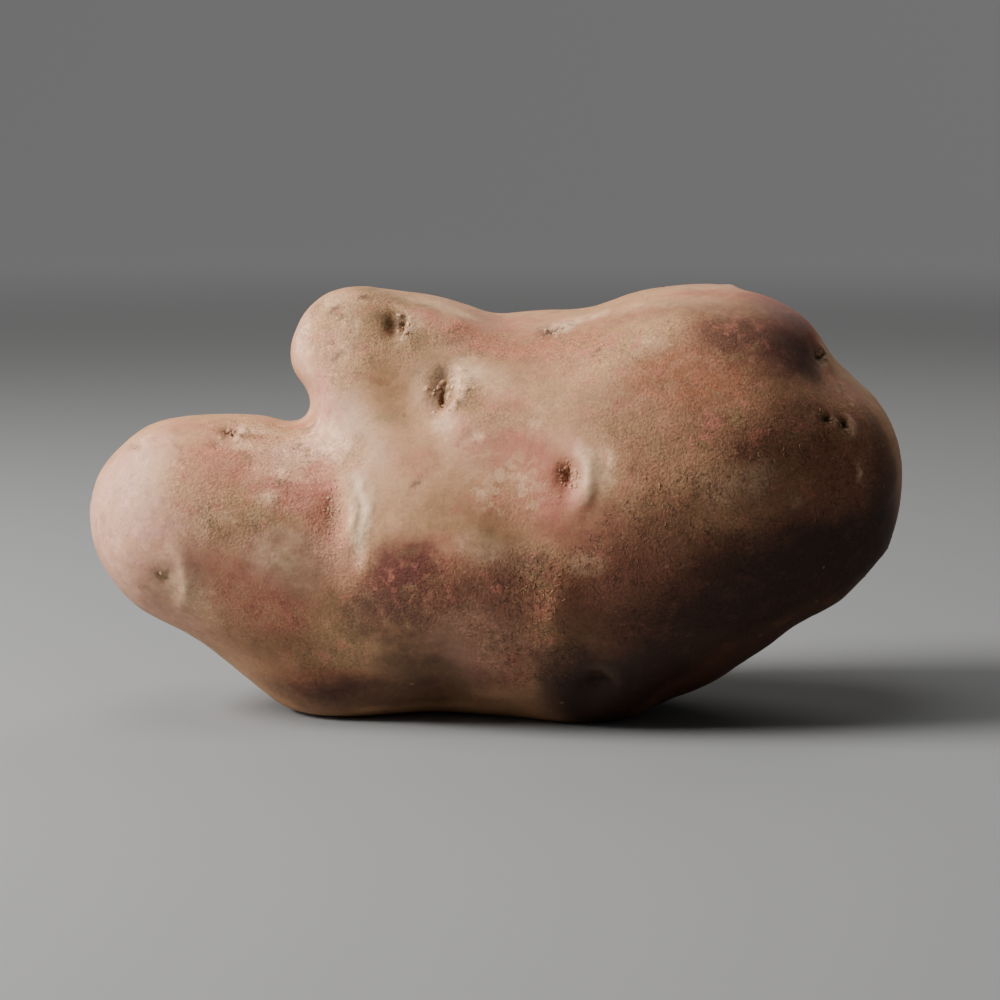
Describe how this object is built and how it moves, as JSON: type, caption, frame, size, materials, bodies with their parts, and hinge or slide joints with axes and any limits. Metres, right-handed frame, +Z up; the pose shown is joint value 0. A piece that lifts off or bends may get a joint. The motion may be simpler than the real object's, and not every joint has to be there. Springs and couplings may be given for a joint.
{
  "type": "potato",
  "caption": "Knobbly potato with a thumb-shaped lobe, a short upright knob, shallow eyes with brows and a small flat spot to lie on.",
  "frame": {"origin": "on the ground under the middle of the potato's bounding box", "axes": "+X along the length, from the thumb-shaped lobe to the big rounded end; -Y towards the front; +Z up"},
  "size_m": [0.12, 0.0514, 0.0629],
  "materials": {
    "potato_skin": "dry, slightly waxy skin"
  },
  "bodies": {
    "root": {"potato": "potato_skin"}
  },
  "joints": []
}
